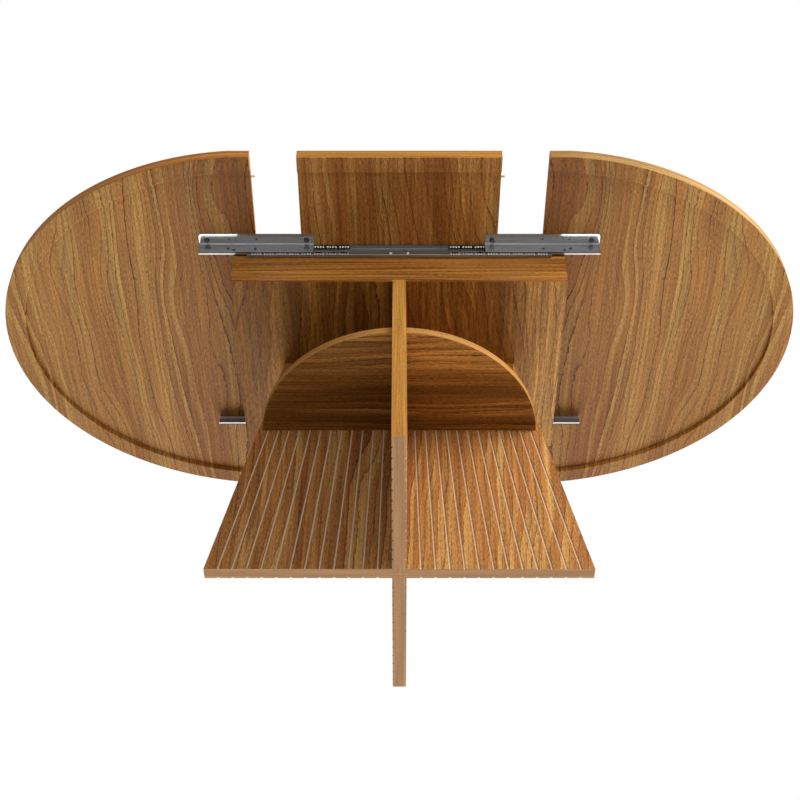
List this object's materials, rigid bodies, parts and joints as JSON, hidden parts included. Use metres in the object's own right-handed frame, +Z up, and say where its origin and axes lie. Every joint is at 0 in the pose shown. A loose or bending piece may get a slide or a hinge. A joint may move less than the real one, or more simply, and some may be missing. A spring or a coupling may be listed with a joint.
{
  "type": "butterfly leaf table",
  "caption": "Oval extending dining table: half tops on ball slides draw apart over a folding leaf, on a fluted cross pedestal with a round shelf.",
  "frame": {"origin": "on the floor, at the middle of the pedestal", "axes": "+X along the pull of the right half top, +Y across the table towards the far side of the picture, +Z up"},
  "size_m": [1.9, 1.047, 0.76],
  "materials": {
    "top_veneer": "satin walnut veneer, grain across the table",
    "rim_wood": "satin walnut edge strip",
    "fluted_wood": "satin walnut veneer with pale flutes",
    "shelf_wood": "satin walnut veneer",
    "tray_wood": "satin walnut veneer",
    "dowel_wood": "raw beech",
    "slide_steel": "zinc plated",
    "bracket_steel": "zinc plated",
    "ball_steel": "polished",
    "zinc_screws": "zinc plated",
    "black_screws": "black oxide",
    "stop_nylon": "moulded",
    "pin_brass": "turned",
    "link_steel": "plain"
  },
  "bodies": {
    "pedestal": {"spine_panel": "fluted_wood", "left_wing_panel": "fluted_wood", "right_wing_panel": "fluted_wood", "near_left_shelf": "shelf_wood", "near_right_shelf": "shelf_wood", "far_left_shelf": "shelf_wood", "far_right_shelf": "shelf_wood", "carrier_board": "tray_wood", "near_rail_beam": "tray_wood", "far_rail_beam": "tray_wood", "wing_dowels": "dowel_wood", "shelf_dowels": "dowel_wood", "beam_dowels": "dowel_wood", "near_slide_rail": "slide_steel", "far_slide_rail": "slide_steel", "carrier_screws": "zinc_screws", "rail_screws": "zinc_screws", "slide_stops": "stop_nylon"},
    "leaf_near": {"near_leaf_panel": "top_veneer", "near_leaf_rim": "rim_wood", "near_leaf_pin": "pin_brass", "near_hinge_barrels": "pin_brass"},
    "leaf_far": {"far_leaf_panel": "top_veneer", "far_leaf_rim": "rim_wood", "far_leaf_pin": "pin_brass", "far_hinge_barrels": "pin_brass"},
    "leaf_hinge_links": {"hinge_links": "link_steel"},
    "left_top": {"left_top_panel": "top_veneer", "left_top_rim": "rim_wood", "left_near_bracket": "bracket_steel", "left_far_bracket": "bracket_steel", "left_near_runner": "slide_steel", "left_far_runner": "slide_steel", "left_bracket_screws": "black_screws", "left_rivets": "black_screws", "left_dowel_pins": "pin_brass"},
    "left_ball_cages": {"left_near_cage": "slide_steel", "left_far_cage": "slide_steel", "left_near_balls": "ball_steel", "left_far_balls": "ball_steel"},
    "right_top": {"right_top_panel": "top_veneer", "right_top_rim": "rim_wood", "right_near_bracket": "bracket_steel", "right_far_bracket": "bracket_steel", "right_near_runner": "slide_steel", "right_far_runner": "slide_steel", "right_bracket_screws": "black_screws", "right_rivets": "black_screws"},
    "right_ball_cages": {"right_near_cage": "slide_steel", "right_far_cage": "slide_steel", "right_near_balls": "ball_steel", "right_far_balls": "ball_steel"}
  },
  "joints": [
    {"name": "left_top_slide", "type": "slide", "parent": "pedestal", "child": "left_top", "axis": [1, 0, 0], "range_m": [0, 0.1043]},
    {"name": "right_top_slide", "type": "slide", "parent": "pedestal", "child": "right_top", "axis": [-1, 0, 0], "range_m": [0, 0.1043]},
    {"name": "left_cage_roll", "type": "slide", "parent": "pedestal", "child": "left_ball_cages", "axis": [1, 0, 0], "range_m": [0, 0.05215]},
    {"name": "right_cage_roll", "type": "slide", "parent": "pedestal", "child": "right_ball_cages", "axis": [-1, 0, 0], "range_m": [0, 0.05215]},
    {"name": "leaf_lift", "type": "slide", "parent": "pedestal", "child": "leaf_near", "axis": [0, 0, 1], "range_m": [0, 0.15]},
    {"name": "leaf_fold", "type": "hinge", "parent": "leaf_near", "child": "leaf_far", "pos_m": [0, 0, 0.76015], "axis": [1, 0, 0], "range_deg": [0, 180]},
    {"name": "leaf_link_turn", "type": "hinge", "parent": "leaf_near", "child": "leaf_hinge_links", "pos_m": [0, 0, 0.76015], "axis": [1, 0, 0], "range_deg": [0, 90]}
  ],
  "couplings": [
    {"joint": "left_cage_roll", "follows": "left_top_slide", "ratio": 0.5},
    {"joint": "right_cage_roll", "follows": "right_top_slide", "ratio": 0.5},
    {"joint": "leaf_link_turn", "follows": "leaf_fold", "ratio": 0.5}
  ]
}
